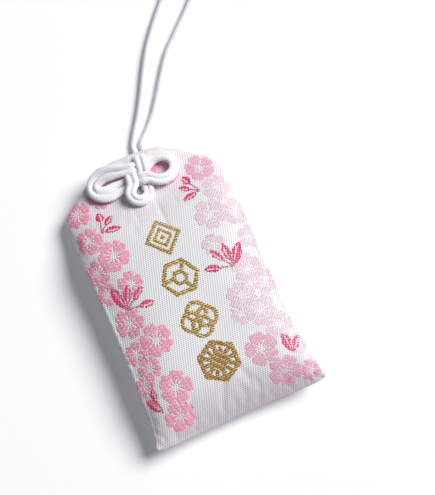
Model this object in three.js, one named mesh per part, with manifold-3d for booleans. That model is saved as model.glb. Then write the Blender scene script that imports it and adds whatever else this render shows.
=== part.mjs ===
// Omamori charm: a small padded brocade pouch, tied shut at its neck by a doubled cord knot with two ears,
// and hung from a long cord loop. It lies on its back, as it would on a table.
// Millimetres. X runs across the pouch, Y from its bottom edge to its mouth, Z out of its front.
// The origin is the middle of the pouch's outline, on the surface that it lies on.

import * as THREE from "three";
import { mergeVertices } from "three/addons/utils/BufferGeometryUtils.js";
import Module from "manifold-3d";

// Pouch outline
const BAG_HEIGHT = 73; // bottom edge to mouth
const BAG_WIDTH = 46; // across the pointed bottom corners
const WAIST_WIDTH = 41.4; // where the filling draws the sides in
const SHOULDER_WIDTH = 43.6;
const SHOULDER_HEIGHT = 62.5; // from the bottom edge
const NECK_WIDTH = 17.6; // across the mouth
const CORNER_REACH = 24; // how far up the sides the bottom corners flare
const CORNER_POWER = 2.4;

// Pouch thickness
const BAG_THICKNESS = 11;
const SEAM_HEIGHT = 3.6; // at the neck, of the seam between front and back
const SEAM_LIFT = 2.6; // how much higher the filling holds it along the sides
const SEAM_LIFT_HEIGHT = 56.5; // from the bottom edge: the seam starts to rise from the neck's height
const SEAM_LIFT_REACH = 16;
const SEAM_SAG = 1.7; // how far it comes down again at the bottom edge
const NECK_THICKNESS = 3.6;
const BOTTOM_REACH = 15; // depth of the rounded bottom end
const FRONT_FULL_HEIGHT = 43; // from the bottom edge: the front starts to sink towards the neck
const FRONT_NECK_HEIGHT = 70; // and has sunk to the neck's thickness
const BACK_FLAT_HEIGHT = 57; // the flat back ends
const BACK_NECK_HEIGHT = 67.5; // and has lifted to the neck
const BACK_FLAT_SHARE = 0.7; // share of the half width that lies flat
const PILLOW_POWER = 2.5; // how square the swollen section is
const PILLOW_EDGE = 0.8; // how steeply the cloth leaves the seam
const FRONT_POWER = 4; // the stuffed front is flatter across, with rounder sides
const FRONT_EDGE = 0.65;

// Cloth and sewing
const CLOTH = 0.55; // brocade with its backing
const HOLLOW_LAYERS = 2.5; // the panel is hollow where its cloth rises more layers than this above the seam
const ALLOWANCE = 3.5; // seam allowance turned inside
const ALLOWANCE_OVERLAP = 0.05; // the gap inside the allowance reaches this far into the hollow
const SEAM_GAP = 0.8; // between the two allowances, where the thread lies
const THREAD_DIAMETER = 0.3;
const THREAD_INSET = 1.2; // stitching line, in from the edge
const THREAD_TOP = 2; // stitching stops short of the mouth

// Filling
const LAYER_GAP = 0.3;
const CARD_WIDTH = 27;
const CARD_LENGTH = 46; // the wrapper is folded to the same length
const CARD_THICKNESS = 1;
const CARD_CORNER = 2;
const SLIP_WIDTH = 20;
const SLIP_THICKNESS = 1.2;
const SLIP_PEAK = 2.5; // height of the slip's peaked top
const PAPER = 0.4;
const WRAPPER_END = 2; // the wrapper reaches this far past each end of the slip
const WRAPPER_FLAP = 5; // each flap reaches this far past the middle of the back
const FILLING_MIDDLE = 34.5; // from the bottom edge, middle of card, wrapper and slip
const WADDING_WIDTH = 26;
const WADDING_BOTTOM = 9; // from the bottom edge
const WADDING_TOP = 51;

// Knot: two pairs of strands run across and two run down, woven over and under each other
const KNOT_CORD = 1.1; // the cord drawn tight
const KNOT_SHIFT = 0.3; // knot's middle to the right of the pouch's middle
const KNOT_DROP = 6.5; // knot's middle below the mouth
const KNOT_TURN = THREE.MathUtils.degToRad(-9);
const KNOT_CLEARANCE = 0.4; // lowest strand above the cloth
const STRAND_INNER = 1.35; // knot's middle to the inner strand of a pair
const STRAND_PITCH = 1.62; // between the two strands of a pair
const WEAVE_HEIGHT = 0.92; // strands lie this far above or below the knot's middle
const EARS = {
  left: { side: -1, reach: 7.6, length: 3, height: 1.7, lift: 0.9 },
  right: { side: 1, reach: 5.9, length: 2.7, height: 2.2, lift: 0.2 },
};
const EAR_OPEN_ANGLE = 115; // degrees from the ear's tip to where its strands turn into the knot
const LOWER_REACH = 3.8; // knot's middle to the middle of the lower loop
const LOWER_WIDTH = 1.5;
const LOWER_HEIGHT = 1.35;
const SLOT_STRAND_GAP = 0.5; // between the knot and the strands that go down into the slot
const SLOT_SIDE_CLEARANCE = 0.4;
const SLOT_SWING_CLEARANCE = 0.7;
const SLOT_DEPTH = 5.25; // from the knot's middle layer down to where the cord stands upright in the slot
const SLOT_BEND_DEPTH = 1.85; // where it bends out of the slot to go under the knot
const SLOT_CREST = 0.65; // above the knot's middle layer, where it bends over the knot into the slot
const LEG_HEIGHT = 0.65; // cord's middle where it lies under the neck

// Hanging loop
const CORD = 1.6;
const LOOP_HEIGHT = 0.85; // cord's middle above the surface
const CORD_JOINT_GAP = 0.3; // between the knot's legs and the loop
// x, and y from the mouth
const LOOP_ROUTE = [
  [2, 0.3],
  [2.05, 2.1],
  [3.7, 5.1],
  [6.7, 9.5],
  [9.7, 14.5],
  [12.9, 20.3],
  [16.4, 25.9],
  [20.5, 31.1],
  [25.2, 36.4],
  [30, 41.7],
  [34.2, 46.4],
  [37.6, 50.1],
  [40.5, 52.1],
  [43.6, 51.3],
  [44.6, 48.3],
  [42.6, 44.7],
  [38.9, 40.5],
  [34.6, 35.9],
  [29.9, 31.1],
  [25, 26.6],
  [20.4, 22.2],
  [16.9, 17.5],
  [13.6, 12.7],
  [10.4, 8.3],
  [7.2, 4.9],
  [4.4, 2.1],
  [4.1, 0.3],
];

// Finishes
const BROCADE = { color: 0xeee6ea, roughness: 0.55 };
const THREAD = { color: 0xf0e8ec, roughness: 0.7 };
const WADDING = { color: 0xf6f4ee, roughness: 0.95 };
const CARDBOARD = { color: 0xc9b08a, roughness: 0.9 };
const WRAPPER = { color: 0xf5f2ea, roughness: 0.85 };
const SLIP_WOOD = { color: 0xd8b98c, roughness: 0.7 };
const BRAID = { color: 0xf4f2f0, roughness: 0.7 };

// Facets
const PANEL_COLUMNS = 16;
const BOTTOM_ROWS = 7;
const BODY_ROWS = 16;
const SHOULDER_ROWS = 6;
const ROW_CROWDING = 1.6; // rows lie closer together towards the bottom edge
const WADDING_COLUMNS = 10;
const WADDING_ROWS = 12;
const WOUND_SIDES = 6;
const CORD_SIDES = 8;
const TURN_POINTS = 9;
const EARS_STEPS = 112;
const LOWER_STEPS = 132;
const LOOP_STEPS = 64;
const THREAD_STEPS = 70;
const THREAD_SIDE_POINTS = 22;
const THREAD_BOTTOM_POINTS = 6;
const SLOT_SEGMENTS = 6;
const LENGTH_SAMPLES = 12; // samples of a path's length for each step along it
const GAP_SAMPLES = 900;
const GAP_APART = 3; // diameters along a tube, from which two stretches count as neighbours
const MERGE_DISTANCE = 1e-4;

const BOTTOM_Y = -BAG_HEIGHT / 2;
const MOUTH_Y = BAG_HEIGHT / 2;
const SHOULDER_Y = BOTTOM_Y + SHOULDER_HEIGHT;
const NECK_RISE = (NECK_THICKNESS - SEAM_GAP) / 2;
const STRAND_OUTER = STRAND_INNER + STRAND_PITCH;
const KNOT_CENTRE = new THREE.Vector2(KNOT_SHIFT, MOUTH_Y - KNOT_DROP);
const SLOT_REACH = STRAND_OUTER + KNOT_CORD + SLOT_STRAND_GAP;
const KNOT_LIFT = KNOT_CLEARANCE + WEAVE_HEIGHT + KNOT_CORD / 2;

const wasm = await Module();
wasm.setup();

const lerp = THREE.MathUtils.lerp;
const clamp01 = (t) => THREE.MathUtils.clamp(t, 0, 1);
const ease = (t) => THREE.MathUtils.smoothstep(t, 0, 1);

// A closed geometry as a solid that can be joined and cut.
function solid(geometry) {
  const bare = geometry.clone();
  bare.deleteAttribute("normal");
  bare.deleteAttribute("uv");
  const merged = mergeVertices(bare, MERGE_DISTANCE);
  return new wasm.Manifold(
    new wasm.Mesh({
      numProp: 3,
      vertProperties: new Float32Array(merged.attributes.position.array),
      triVerts: new Uint32Array(merged.index.array),
    }),
  );
}

function geometryOf(made) {
  const mesh = made.getMesh();
  const geometry = new THREE.BufferGeometry();
  geometry.setAttribute("position", new THREE.BufferAttribute(mesh.vertProperties, 3));
  geometry.setIndex(new THREE.BufferAttribute(mesh.triVerts, 1));
  geometry.computeVertexNormals();
  return geometry;
}

function spaced(from, to, count) {
  return Array.from({ length: count }, (_, i) => lerp(from, to, i / (count - 1)));
}

// Half of the pouch's width at y.
function halfWidth(y) {
  if (y > SHOULDER_Y) {
    return lerp(SHOULDER_WIDTH, NECK_WIDTH, (y - SHOULDER_Y) / (MOUTH_Y - SHOULDER_Y)) / 2;
  }
  const corner = 1 - clamp01((y - BOTTOM_Y) / CORNER_REACH);
  const waistY = BOTTOM_Y + SHOULDER_HEIGHT / 2;
  const shoulder = clamp01((y - waistY) / (SHOULDER_Y - waistY));
  const flare = ((BAG_WIDTH - WAIST_WIDTH) / 2) * corner ** CORNER_POWER;
  const spread = ((SHOULDER_WIDTH - WAIST_WIDTH) / 2) * shoulder ** 2;
  return WAIST_WIDTH / 2 + flare + spread;
}

// Swell of a filled section, from 1 at its middle to 0 at its edge (t = 1).
function swell(t, power = PILLOW_POWER, edge = PILLOW_EDGE) {
  return (1 - t ** power) ** edge;
}

function frontSwell(s) {
  return swell(Math.abs(s), FRONT_POWER, FRONT_EDGE);
}

function bottomSwell(y) {
  return swell(1 - clamp01((y - BOTTOM_Y) / BOTTOM_REACH));
}

// Height of the seam: low at the neck and at the bottom edge, held up by the filling in between.
function seamHeight(y) {
  const height = y - BOTTOM_Y;
  const lift = SEAM_LIFT * ease((SEAM_LIFT_HEIGHT - height) / SEAM_LIFT_REACH);
  return SEAM_HEIGHT + lift - SEAM_SAG * ease(1 - height / BOTTOM_REACH);
}

function frontLip(y) {
  return seamHeight(y) + SEAM_GAP / 2;
}

function backLip(y) {
  return seamHeight(y) - SEAM_GAP / 2;
}

// Rise of the front above its seam along the middle of the pouch.
function frontRise(y) {
  const height = y - BOTTOM_Y;
  const body = ease((FRONT_NECK_HEIGHT - height) / (FRONT_NECK_HEIGHT - FRONT_FULL_HEIGHT));
  return lerp(NECK_RISE, BAG_THICKNESS - frontLip(y), body) * bottomSwell(y);
}

// Depth of the back below its seam: the flat part reaches the surface that the pouch lies on.
function backRise(y) {
  const height = y - BOTTOM_Y;
  const body = ease((BACK_NECK_HEIGHT - height) / (BACK_NECK_HEIGHT - BACK_FLAT_HEIGHT));
  return lerp(NECK_RISE, backLip(y), body) * bottomSwell(y);
}

// Place across a section, from its middle, where its swell has fallen to a share.
function swellReach(share, power = PILLOW_POWER, edge = PILLOW_EDGE) {
  return (1 - share ** (1 / edge)) ** (1 / power);
}

const FRONT = {
  side: 1,
  lip: frontLip,
  rise: frontRise,
  across: frontSwell,
  reach: (share) => swellReach(share, FRONT_POWER, FRONT_EDGE),
};
const BACK = {
  side: -1,
  lip: backLip,
  rise: backRise,
  across: (s) => swell(clamp01((Math.abs(s) - BACK_FLAT_SHARE) / (1 - BACK_FLAT_SHARE))),
  reach: (share) => lerp(BACK_FLAT_SHARE, 1, swellReach(share)),
};

function panelRows() {
  const roundEnd = BOTTOM_Y + BOTTOM_REACH;
  const bottom = spaced(0, 1, BOTTOM_ROWS).map((t) => lerp(BOTTOM_Y, roundEnd, t ** ROW_CROWDING));
  const body = spaced(roundEnd, SHOULDER_Y, BODY_ROWS).slice(1);
  const shoulder = spaced(SHOULDER_Y, MOUTH_Y, SHOULDER_ROWS).slice(1);
  return [...bottom, ...body, ...shoulder];
}

// Columns lie closer together towards the seams.
function panelColumns(side) {
  return spaced(-side, side, PANEL_COLUMNS + 1).map((t) => Math.sin((t * Math.PI) / 2));
}

// Outer face of a panel as rows of points, from the bottom edge to the mouth.
function outerFace(face) {
  return panelRows().map((y) => {
    const rise = face.side * face.rise(y);
    return panelColumns(face.side).map(
      (s) => new THREE.Vector3(s * halfWidth(y), y, face.lip(y) + rise * face.across(s)),
    );
  });
}

// Inner face of a panel, down to the seam allowance and out past the mouth.
function innerFace(face) {
  const deep = panelRows().filter((y) => face.rise(y) > HOLLOW_LAYERS * CLOTH);
  return [...deep.slice(0, -1), MOUTH_Y + CLOTH].map((y) => {
    const rise = face.rise(y) - CLOTH;
    const reach = face.reach(CLOTH / rise);
    const width = halfWidth(y) - CLOTH;
    const height = (s) => face.lip(y) + face.side * rise * face.across(s * reach);
    return panelColumns(face.side).map((s) => new THREE.Vector3(s * reach * width, y, height(s)));
  });
}

// Closes a swollen face with a base through its edges, flat across.
// A first row that lies in the base needs no end.
function pillowHalf(rows, firstRowInBase) {
  const columns = rows[0].length;
  const last = rows.length - 1;
  const at = (i, j) => i * columns + j;
  const points = rows.flat();
  const index = [];
  for (let i = 0; i < last; i++) {
    for (let j = 0; j + 1 < columns; j++) {
      index.push(at(i, j), at(i, j + 1), at(i + 1, j + 1));
      index.push(at(i, j), at(i + 1, j + 1), at(i + 1, j));
    }
  }
  for (let j = 1; j + 1 < columns; j++) {
    index.push(at(last, 0), at(last, j), at(last, j + 1));
    if (!firstRowInBase) index.push(at(0, 0), at(0, j + 1), at(0, j));
  }
  for (let i = firstRowInBase ? 1 : 0; i < last; i++) {
    index.push(at(i, 0), at(i + 1, 0), at(i + 1, columns - 1));
    index.push(at(i, 0), at(i + 1, columns - 1), at(i, columns - 1));
  }
  if (firstRowInBase) {
    for (let j = 0; j + 1 < columns; j++) index.push(at(1, 0), at(0, j + 1), at(0, j));
    index.push(at(1, 0), at(1, columns - 1), at(0, columns - 1));
  }
  const geometry = new THREE.BufferGeometry().setFromPoints(points);
  geometry.setIndex(index);
  return geometry;
}

// Joins an outer and an inner grid of points, of the same size, into one closed body.
function closedShell(outer, inner) {
  const rows = outer.length;
  const columns = outer[0].length;
  const inside = rows * columns;
  const at = (i, j) => i * columns + j;
  const index = [];
  const quad = (a, b, c, d) => index.push(a, b, c, a, c, d);
  for (let i = 0; i + 1 < rows; i++) {
    for (let j = 0; j + 1 < columns; j++) {
      quad(at(i, j), at(i, j + 1), at(i + 1, j + 1), at(i + 1, j));
      quad(inside + at(i, j), inside + at(i + 1, j), inside + at(i + 1, j + 1), inside + at(i, j + 1));
    }
  }
  const border = [];
  for (let j = 0; j + 1 < columns; j++) border.push(at(0, j));
  for (let i = 0; i + 1 < rows; i++) border.push(at(i, columns - 1));
  for (let j = columns - 1; j > 0; j--) border.push(at(rows - 1, j));
  for (let i = rows - 1; i > 0; i--) border.push(at(i, 0));
  border.forEach((a, k) => {
    const b = border[(k + 1) % border.length];
    quad(b, a, inside + a, inside + b);
  });
  const geometry = new THREE.BufferGeometry().setFromPoints([...outer.flat(), ...inner.flat()]);
  geometry.setIndex(index);
  geometry.computeVertexNormals();
  return geometry;
}

// The gap inside the seam allowance, open at the mouth.
function allowanceGap(face) {
  const low = BOTTOM_Y + ALLOWANCE;
  const between = panelRows().filter((y) => y > low && y < MOUTH_Y);
  const half = CLOTH + ALLOWANCE_OVERLAP;
  const row = (y, height) => {
    const reach = halfWidth(Math.min(y, MOUTH_Y)) - ALLOWANCE;
    return [-reach, reach].map((x) => new THREE.Vector3(x, y, face.lip(y) + height));
  };
  const layer = (height) => [low, ...between, MOUTH_Y + CLOTH].map((y) => row(y, height));
  return solid(closedShell(layer(half), layer(-half)));
}

// The slot in the neck, turned with the knot, long enough for four strands side by side.
function slotCutter() {
  const radius = KNOT_CORD / 2 + SLOT_SWING_CLEARANCE;
  const half = STRAND_OUTER + KNOT_CORD / 2 + SLOT_SIDE_CLEARANCE - radius;
  const outline = new THREE.Shape();
  outline.absarc(half, 0, radius, -Math.PI / 2, Math.PI / 2);
  outline.absarc(-half, 0, radius, Math.PI / 2, (3 * Math.PI) / 2);
  const slot = new THREE.ExtrudeGeometry(outline, {
    depth: 2 * BAG_THICKNESS,
    bevelEnabled: false,
    curveSegments: SLOT_SEGMENTS,
  });
  const middle = knotPlan(0, SLOT_REACH);
  slot.rotateZ(KNOT_TURN);
  slot.translate(middle.x, middle.y, -BAG_THICKNESS / 2);
  return solid(slot);
}

// One side of the pouch: a swollen cloth shell with its seam allowance turned inside.
function panel(face) {
  const whole = solid(pillowHalf(outerFace(face), true));
  const hollow = solid(pillowHalf(innerFace(face), false));
  return geometryOf(whole.subtract(hollow).subtract(allowanceGap(face)).subtract(slotCutter()));
}

function polygon(diameter, sides) {
  const corner = (i) => (2 * Math.PI * (i + 0.5)) / sides;
  const points = Array.from({ length: sides }, (_, i) => {
    return new THREE.Vector2(Math.cos(corner(i)), Math.sin(corner(i))).multiplyScalar(diameter / 2);
  });
  return new THREE.Shape(points);
}

function smoothPath(points, steps) {
  const path = new THREE.CatmullRomCurve3(points, false, "centripetal");
  path.arcLengthDivisions = LENGTH_SAMPLES * steps;
  return path;
}

function tube(path, diameter, sides, steps) {
  return new THREE.ExtrudeGeometry(polygon(diameter, sides), { steps, extrudePath: path });
}

// Least gap between stretches of one tube that lie far enough apart along it.
function leastSelfGap(path, diameter) {
  const points = path.getSpacedPoints(GAP_SAMPLES);
  const step = path.getLength() / GAP_SAMPLES;
  const apart = Math.ceil((GAP_APART * diameter) / step);
  let least = Infinity;
  points.forEach((p, i) => {
    for (let j = i + apart; j < points.length; j++) {
      least = Math.min(least, p.distanceTo(points[j]));
    }
  });
  return least - diameter;
}

// The thread that sews the allowances together: down one side, along the bottom and up the other.
function seamThread() {
  const low = BOTTOM_Y + THREAD_INSET;
  const side = spaced(MOUTH_Y - THREAD_TOP, low + THREAD_INSET, THREAD_SIDE_POINTS);
  const at = (sign, y) => new THREE.Vector3(sign * (halfWidth(y) - THREAD_INSET), y, seamHeight(y));
  const corner = halfWidth(low) - 2 * THREAD_INSET;
  const lowPoint = (x) => new THREE.Vector3(x, low, seamHeight(low));
  const bottom = spaced(corner, -corner, THREAD_BOTTOM_POINTS).map(lowPoint);
  const right = side.map((y) => at(1, y));
  const left = side.map((y) => at(-1, y)).reverse();
  const path = smoothPath([...right, ...bottom, ...left], THREAD_STEPS);
  return tube(path, THREAD_DIAMETER, WOUND_SIDES, THREAD_STEPS);
}

function plate(outline, thickness, z) {
  const geometry = new THREE.ExtrudeGeometry(outline, { depth: thickness, bevelEnabled: false });
  geometry.translate(0, BOTTOM_Y + FILLING_MIDDLE, z);
  return geometry;
}

const SLIP_LENGTH = CARD_LENGTH - 2 * WRAPPER_END;
const CARD_Z = CLOTH + LAYER_GAP;
const WRAPPER_Z = CARD_Z + CARD_THICKNESS + LAYER_GAP;
const SLIP_Z = WRAPPER_Z + 2 * (PAPER + LAYER_GAP);
const WRAPPER_TOP = SLIP_Z + SLIP_THICKNESS + LAYER_GAP + PAPER;
const WADDING_Z = WRAPPER_TOP + LAYER_GAP;

// Cardboard that keeps the back flat, with its corners cut off.
function stiffenerCard() {
  const x = CARD_WIDTH / 2;
  const y = CARD_LENGTH / 2;
  const outline = new THREE.Shape();
  outline.moveTo(-x + CARD_CORNER, -y);
  outline.lineTo(x - CARD_CORNER, -y);
  outline.lineTo(x, -y + CARD_CORNER);
  outline.lineTo(x, y - CARD_CORNER);
  outline.lineTo(x - CARD_CORNER, y);
  outline.lineTo(-x + CARD_CORNER, y);
  outline.lineTo(-x, y - CARD_CORNER);
  outline.lineTo(-x, -y + CARD_CORNER);
  return plate(outline, CARD_THICKNESS, CARD_Z);
}

// Wooden slip with a low peak at its top.
function talismanSlip() {
  const x = SLIP_WIDTH / 2;
  const y = SLIP_LENGTH / 2;
  const outline = new THREE.Shape();
  outline.moveTo(-x, -y);
  outline.lineTo(x, -y);
  outline.lineTo(x, y - SLIP_PEAK);
  outline.lineTo(0, y);
  outline.lineTo(-x, y - SLIP_PEAK);
  return plate(outline, SLIP_THICKNESS, SLIP_Z);
}

// Paper folded round the slip, its two flaps lying over each other on the back.
function paperWrapper() {
  const x = SLIP_WIDTH / 2 + LAYER_GAP + PAPER;
  const top = WRAPPER_TOP - WRAPPER_Z;
  const second = PAPER + LAYER_GAP;
  const section = new THREE.Shape();
  section.moveTo(-WRAPPER_FLAP, 0);
  section.lineTo(x, 0);
  section.lineTo(x, top);
  section.lineTo(-x, top);
  section.lineTo(-x, second);
  section.lineTo(WRAPPER_FLAP, second);
  section.lineTo(WRAPPER_FLAP, second + PAPER);
  section.lineTo(-x + PAPER, second + PAPER);
  section.lineTo(-x + PAPER, top - PAPER);
  section.lineTo(x - PAPER, top - PAPER);
  section.lineTo(x - PAPER, PAPER);
  section.lineTo(-WRAPPER_FLAP, PAPER);
  const geometry = new THREE.ExtrudeGeometry(section, { depth: CARD_LENGTH, bevelEnabled: false });
  geometry.rotateX(Math.PI / 2);
  geometry.translate(0, BOTTOM_Y + FILLING_MIDDLE + CARD_LENGTH / 2, WRAPPER_Z);
  return geometry;
}

// Height of the front panel's inner face over a point of the pouch.
function frontInside(x, y) {
  const s = Math.min(1, Math.abs(x) / (halfWidth(y) - CLOTH));
  return frontLip(y) + (frontRise(y) - CLOTH) * frontSwell(s);
}

// Domed wadding that fills the front out.
function frontWadding() {
  const rows = spaced(BOTTOM_Y + WADDING_BOTTOM, BOTTOM_Y + WADDING_TOP, WADDING_ROWS + 1);
  const columns = spaced(-WADDING_WIDTH / 2, WADDING_WIDTH / 2, WADDING_COLUMNS + 1);
  const layer = (height) => rows.map((y) => columns.map((x) => new THREE.Vector3(x, y, height(x, y))));
  const top = layer((x, y) => frontInside(x, y) - LAYER_GAP);
  const bottom = layer(() => WADDING_Z);
  return closedShell(top, bottom);
}

// The place on the pouch's plan of a point given from the knot's own middle.
function knotPlan(x, y) {
  return new THREE.Vector2(x, y).rotateAround(new THREE.Vector2(), KNOT_TURN).add(KNOT_CENTRE);
}

// A point of the knot, z above or below its middle layer, which follows the cloth under it.
function onFront(x, y, z) {
  const plan = knotPlan(x, y);
  return new THREE.Vector3(plan.x, plan.y, frontLip(plan.y) + frontRise(plan.y) + KNOT_LIFT + z);
}

// A point of the knot's cord where it lies under the neck.
function underNeck(x, y) {
  const plan = knotPlan(x, y);
  return new THREE.Vector3(plan.x, plan.y, LEG_HEIGHT);
}

// A strand running across at y: it passes over one pair of upright strands and under the other.
function acrossStrand(y, xs) {
  return xs.map((x) => onFront(x, y, -Math.sign(x) * Math.sign(y) * WEAVE_HEIGHT));
}

// A strand running down at x, woven the opposite way.
function downStrand(x, ys) {
  return ys.map((y) => onFront(x, y, Math.sign(x) * Math.sign(y) * WEAVE_HEIGHT));
}

const ACROSS = [-STRAND_OUTER, -STRAND_INNER, STRAND_INNER, STRAND_OUTER];

// One turn of cord round an ear, from the knot's upper strand to its lower strand or back.
function earTurn(ear, track, downwards) {
  const offset = track * STRAND_PITCH;
  const from = downwards ? 1 : -1;
  return spaced(from, -from, TURN_POINTS).map((t) => {
    const angle = THREE.MathUtils.degToRad(EAR_OPEN_ANGLE) * t;
    const x = ear.reach + (ear.length + offset) * Math.cos(angle);
    const y = (ear.height + offset) * Math.sin(angle);
    const lift = (ear.lift * (1 + Math.cos(angle))) / 2;
    return onFront(ear.side * x, y, lift - ear.side * t * WEAVE_HEIGHT);
  });
}

// The cord of the two ears: two turns, the second outside the first. Its ends tuck under the left pair.
function earPath() {
  const back = [...ACROSS].reverse();
  const start = [onFront(0, -STRAND_INNER, 0), ...acrossStrand(-STRAND_INNER, [STRAND_INNER, STRAND_OUTER])];
  const shift = [
    onFront(-STRAND_OUTER, -STRAND_INNER, -WEAVE_HEIGHT),
    onFront(-STRAND_INNER - STRAND_PITCH / 3, -STRAND_INNER - STRAND_PITCH / 2, -WEAVE_HEIGHT),
    onFront(-STRAND_INNER / 2, -STRAND_OUTER, -WEAVE_HEIGHT / 2),
    ...acrossStrand(-STRAND_OUTER, [STRAND_INNER, STRAND_OUTER]),
  ];
  const end = [onFront(-STRAND_OUTER - KNOT_CORD / 2, -STRAND_OUTER, -WEAVE_HEIGHT)];
  return [
    ...start,
    ...earTurn(EARS.right, 0, false),
    ...acrossStrand(STRAND_INNER, back),
    ...earTurn(EARS.left, 0, true),
    ...shift,
    ...earTurn(EARS.right, 1, false),
    ...acrossStrand(STRAND_OUTER, back),
    ...earTurn(EARS.left, 1, true),
    ...end,
  ];
}

// The lower loop, from its left strand round to its right one.
function lowerTurn(track) {
  const offset = track * STRAND_PITCH;
  return spaced(0, 1, TURN_POINTS).map((t) => {
    const angle = Math.PI * (1 + t);
    const x = (LOWER_WIDTH + offset) * Math.cos(angle);
    const y = -LOWER_REACH + (LOWER_HEIGHT + offset) * Math.sin(angle);
    return onFront(x, y, (1 - 2 * t) * WEAVE_HEIGHT);
  });
}

// Up out of the slot and in under the upper strands, on the left.
function riseFromSlot(x) {
  return [
    onFront(x, SLOT_REACH, -SLOT_DEPTH),
    onFront(x, SLOT_REACH, -SLOT_BEND_DEPTH),
    onFront(x, SLOT_REACH - KNOT_CORD / 2, -WEAVE_HEIGHT),
  ];
}

// Over the upper strands and down into the slot, on the right.
function dropIntoSlot(x) {
  return [
    onFront(x, SLOT_REACH - KNOT_CORD / 2, SLOT_CREST),
    onFront(x, SLOT_REACH, -WEAVE_HEIGHT),
    onFront(x, SLOT_REACH, -SLOT_DEPTH),
  ];
}

// The cord of the lower loop: two turns through the slot, with both ends led out under the neck.
function lowerPath() {
  const down = [...ACROSS].reverse();
  const leg = ([x, y], back) => new THREE.Vector3(x, MOUTH_Y + y - CORD_JOINT_GAP - back, LEG_HEIGHT);
  const left = LOOP_ROUTE[0];
  const right = LOOP_ROUTE.at(-1);
  const turnIn = SLOT_REACH - KNOT_CORD;
  const behind = [
    underNeck(STRAND_INNER - KNOT_CORD / 4, turnIn),
    underNeck(0, turnIn - KNOT_CORD / 2),
    underNeck(-STRAND_INNER, turnIn - KNOT_CORD / 2),
    underNeck(-STRAND_OUTER + KNOT_CORD / 4, turnIn),
  ];
  return [
    leg(left, 0),
    leg(left, KNOT_CORD),
    underNeck(-STRAND_INNER / 2, SLOT_REACH + KNOT_CORD / 2),
    ...riseFromSlot(-STRAND_INNER),
    ...downStrand(-STRAND_INNER, down),
    ...lowerTurn(0),
    ...downStrand(STRAND_INNER, ACROSS),
    ...dropIntoSlot(STRAND_INNER),
    ...behind,
    ...riseFromSlot(-STRAND_OUTER),
    ...downStrand(-STRAND_OUTER, down),
    ...lowerTurn(1),
    ...downStrand(STRAND_OUTER, ACROSS),
    ...dropIntoSlot(STRAND_OUTER),
    underNeck(STRAND_OUTER, SLOT_REACH + KNOT_CORD),
    leg(right, KNOT_CORD),
    leg(right, 0),
  ];
}

function wound(name, points, steps) {
  const path = smoothPath(points, steps);
  console.log(name, "least gap to itself, mm:", leastSelfGap(path, KNOT_CORD).toFixed(2));
  return tube(path, KNOT_CORD, WOUND_SIDES, steps);
}

function hangingLoop() {
  const points = LOOP_ROUTE.map(([x, y]) => new THREE.Vector3(x, MOUTH_Y + y, LOOP_HEIGHT));
  return tube(smoothPath(points, LOOP_STEPS), CORD, CORD_SIDES, LOOP_STEPS);
}

const charm = new THREE.Group();

function add(name, geometry, finish) {
  const mesh = new THREE.Mesh(geometry, new THREE.MeshStandardMaterial({ ...finish, metalness: 0 }));
  mesh.name = name;
  charm.add(mesh);
}

add("front_panel", panel(FRONT), BROCADE);
add("back_panel", panel(BACK), BROCADE);
add("seam_thread", seamThread(), THREAD);
add("front_wadding", frontWadding(), WADDING);
add("stiffener_card", stiffenerCard(), CARDBOARD);
add("paper_wrapper", paperWrapper(), WRAPPER);
add("talisman_slip", talismanSlip(), SLIP_WOOD);
add("knot_ears", wound("knot_ears", earPath(), EARS_STEPS), BRAID);
add("knot_lower_loop", wound("knot_lower_loop", lowerPath(), LOWER_STEPS), BRAID);
add("hanging_loop", hangingLoop(), BRAID);

export default charm;
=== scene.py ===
"""Omamori charm: brocade pouch, doubled cord knot and hanging loop, dressed over its solids.

Sizes are in millimetres and become metres where a mesh is made. X runs across the pouch, Y from its bottom
edge to its mouth, Z out of its front.
"""
import math

import bpy
import numpy as np
from mathutils import Matrix, Vector


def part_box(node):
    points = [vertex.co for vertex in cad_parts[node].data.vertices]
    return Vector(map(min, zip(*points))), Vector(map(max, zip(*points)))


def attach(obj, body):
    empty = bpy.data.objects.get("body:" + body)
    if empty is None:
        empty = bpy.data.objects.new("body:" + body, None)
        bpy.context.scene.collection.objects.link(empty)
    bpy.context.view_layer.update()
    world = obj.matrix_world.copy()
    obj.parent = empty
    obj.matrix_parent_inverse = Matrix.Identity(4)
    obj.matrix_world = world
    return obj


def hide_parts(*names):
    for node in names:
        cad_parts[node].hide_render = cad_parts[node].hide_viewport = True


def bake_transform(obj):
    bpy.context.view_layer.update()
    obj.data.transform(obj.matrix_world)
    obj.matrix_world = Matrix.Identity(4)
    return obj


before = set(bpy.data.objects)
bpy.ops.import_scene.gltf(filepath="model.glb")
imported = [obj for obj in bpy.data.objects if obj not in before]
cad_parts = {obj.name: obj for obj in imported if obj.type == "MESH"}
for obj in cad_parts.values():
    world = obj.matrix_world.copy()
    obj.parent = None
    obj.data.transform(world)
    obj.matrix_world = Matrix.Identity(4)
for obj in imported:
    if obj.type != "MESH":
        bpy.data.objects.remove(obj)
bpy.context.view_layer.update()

MM = 0.001
WHITE = (1.0, 1.0, 1.0)

# Camera: where the photograph was taken from
PHOTO_WIDTH = 435  # pixels
CAMERA_DISTANCE = 400.0
CAMERA_TILT = math.radians(11)  # away from straight down
CAMERA_HEADING = math.radians(66.25)  # direction on the table that runs up the picture
PIXELS_PER_MM = 3.8735
CAMERA_AIM = (8.41, 9.47)  # right and up from the origin, in the picture's plane
SENSOR_WIDTH = 36.0

# Stage: a white table under one large soft lamp, with a weak blue fill
KEY_DIRECTION = (0.58, 0.4, 0.71)  # right and up in the picture, and up from the table
KEY_DISTANCE = 4.0  # metres
TABLE_LEVEL = -0.1
TABLE_GLOW = 0.1  # only where the table is seen

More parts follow.
